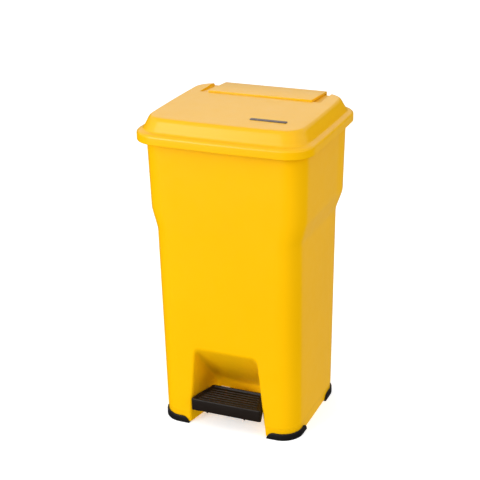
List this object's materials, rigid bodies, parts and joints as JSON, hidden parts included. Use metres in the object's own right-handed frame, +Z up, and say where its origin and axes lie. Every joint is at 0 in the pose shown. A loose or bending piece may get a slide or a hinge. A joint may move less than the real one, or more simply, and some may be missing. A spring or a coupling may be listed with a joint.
{
  "type": "pedal bin",
  "caption": "Tall tapered plastic pedal bin with a hinged lid, raised hinge cover, foot-well with tray pedal, corner feet and an internal push rod.",
  "frame": {"origin": "on the floor, under the middle of the bin's outer box", "axes": "+Z up, +X to the bin's right as seen from the front, the front with the pedal faces -Y"},
  "size_m": [0.4332, 0.3942, 0.789],
  "materials": {
    "yellow_plastic": "satin moulded",
    "black_plastic": "satin moulded",
    "black_rubber": "matte",
    "zinc_plated_steel": "zinc plated",
    "white_nylon": "satin",
    "dark_badge": "satin"
  },
  "bodies": {
    "tub": {"axle_bracket_left": "black_plastic", "axle_bracket_right": "black_plastic", "axle_clip_left": "zinc_plated_steel", "axle_clip_right": "zinc_plated_steel", "axle_screw_left": "zinc_plated_steel", "axle_screw_right": "zinc_plated_steel", "body_shell": "yellow_plastic", "channel_cover": "yellow_plastic", "cover_screw_1": "zinc_plated_steel", "cover_screw_2": "zinc_plated_steel", "cover_screw_3": "zinc_plated_steel", "cover_screw_4": "zinc_plated_steel", "foot_front_left": "black_rubber", "foot_front_right": "black_rubber", "foot_rear_left": "black_rubber", "foot_rear_right": "black_rubber", "hinge_bracket_left": "zinc_plated_steel", "hinge_bracket_right": "zinc_plated_steel", "hinge_pin_left": "zinc_plated_steel", "hinge_pin_right": "zinc_plated_steel", "hinge_screw_1": "zinc_plated_steel", "hinge_screw_2": "zinc_plated_steel", "hinge_screw_3": "zinc_plated_steel", "hinge_screw_4": "zinc_plated_steel", "pedal_axle": "zinc_plated_steel", "rod_guide_lower": "white_nylon", "rod_guide_upper": "white_nylon"},
    "lid": {"arm_screw_left": "zinc_plated_steel", "arm_screw_right": "zinc_plated_steel", "badge_plate": "dark_badge", "hinge_cover": "yellow_plastic", "lid_buffer_front_left": "black_rubber", "lid_buffer_front_right": "black_rubber", "lid_buffer_rear_left": "black_rubber", "lid_buffer_rear_right": "black_rubber", "lid_hinge_arm_left": "black_plastic", "lid_hinge_arm_right": "black_plastic", "lid_shell": "yellow_plastic", "lift_bracket": "zinc_plated_steel", "lift_roller": "white_nylon", "lift_screw_left": "zinc_plated_steel", "lift_screw_right": "zinc_plated_steel", "roller_pin": "zinc_plated_steel"},
    "lift_rod": {"push_rod": "zinc_plated_steel", "rod_cap": "white_nylon", "rod_foot": "white_nylon"},
    "pedal": {"pedal_plate": "black_plastic", "pedal_lever": "zinc_plated_steel", "pedal_screw_front": "zinc_plated_steel", "pedal_screw_rear": "zinc_plated_steel"}
  },
  "joints": [
    {"name": "lid_hinge", "type": "hinge", "parent": "tub", "child": "lid", "pos_m": [0, 0.182, 0.735], "axis": [-1, 0, 0], "range_deg": [0, 75]},
    {"name": "rod_slide", "type": "slide", "parent": "tub", "child": "lift_rod", "axis": [0, 0, 1], "range_m": [0, 0.0474]},
    {"name": "pedal_pivot", "type": "hinge", "parent": "tub", "child": "pedal", "pos_m": [0, -0.018, 0.036], "axis": [1, 0, 0], "range_deg": [0, 16.5]}
  ],
  "couplings": [
    {"joint": "rod_slide", "follows": "lid_hinge", "m_per_rad": 0.035903},
    {"joint": "pedal_pivot", "follows": "lid_hinge", "ratio": 0.216}
  ]
}
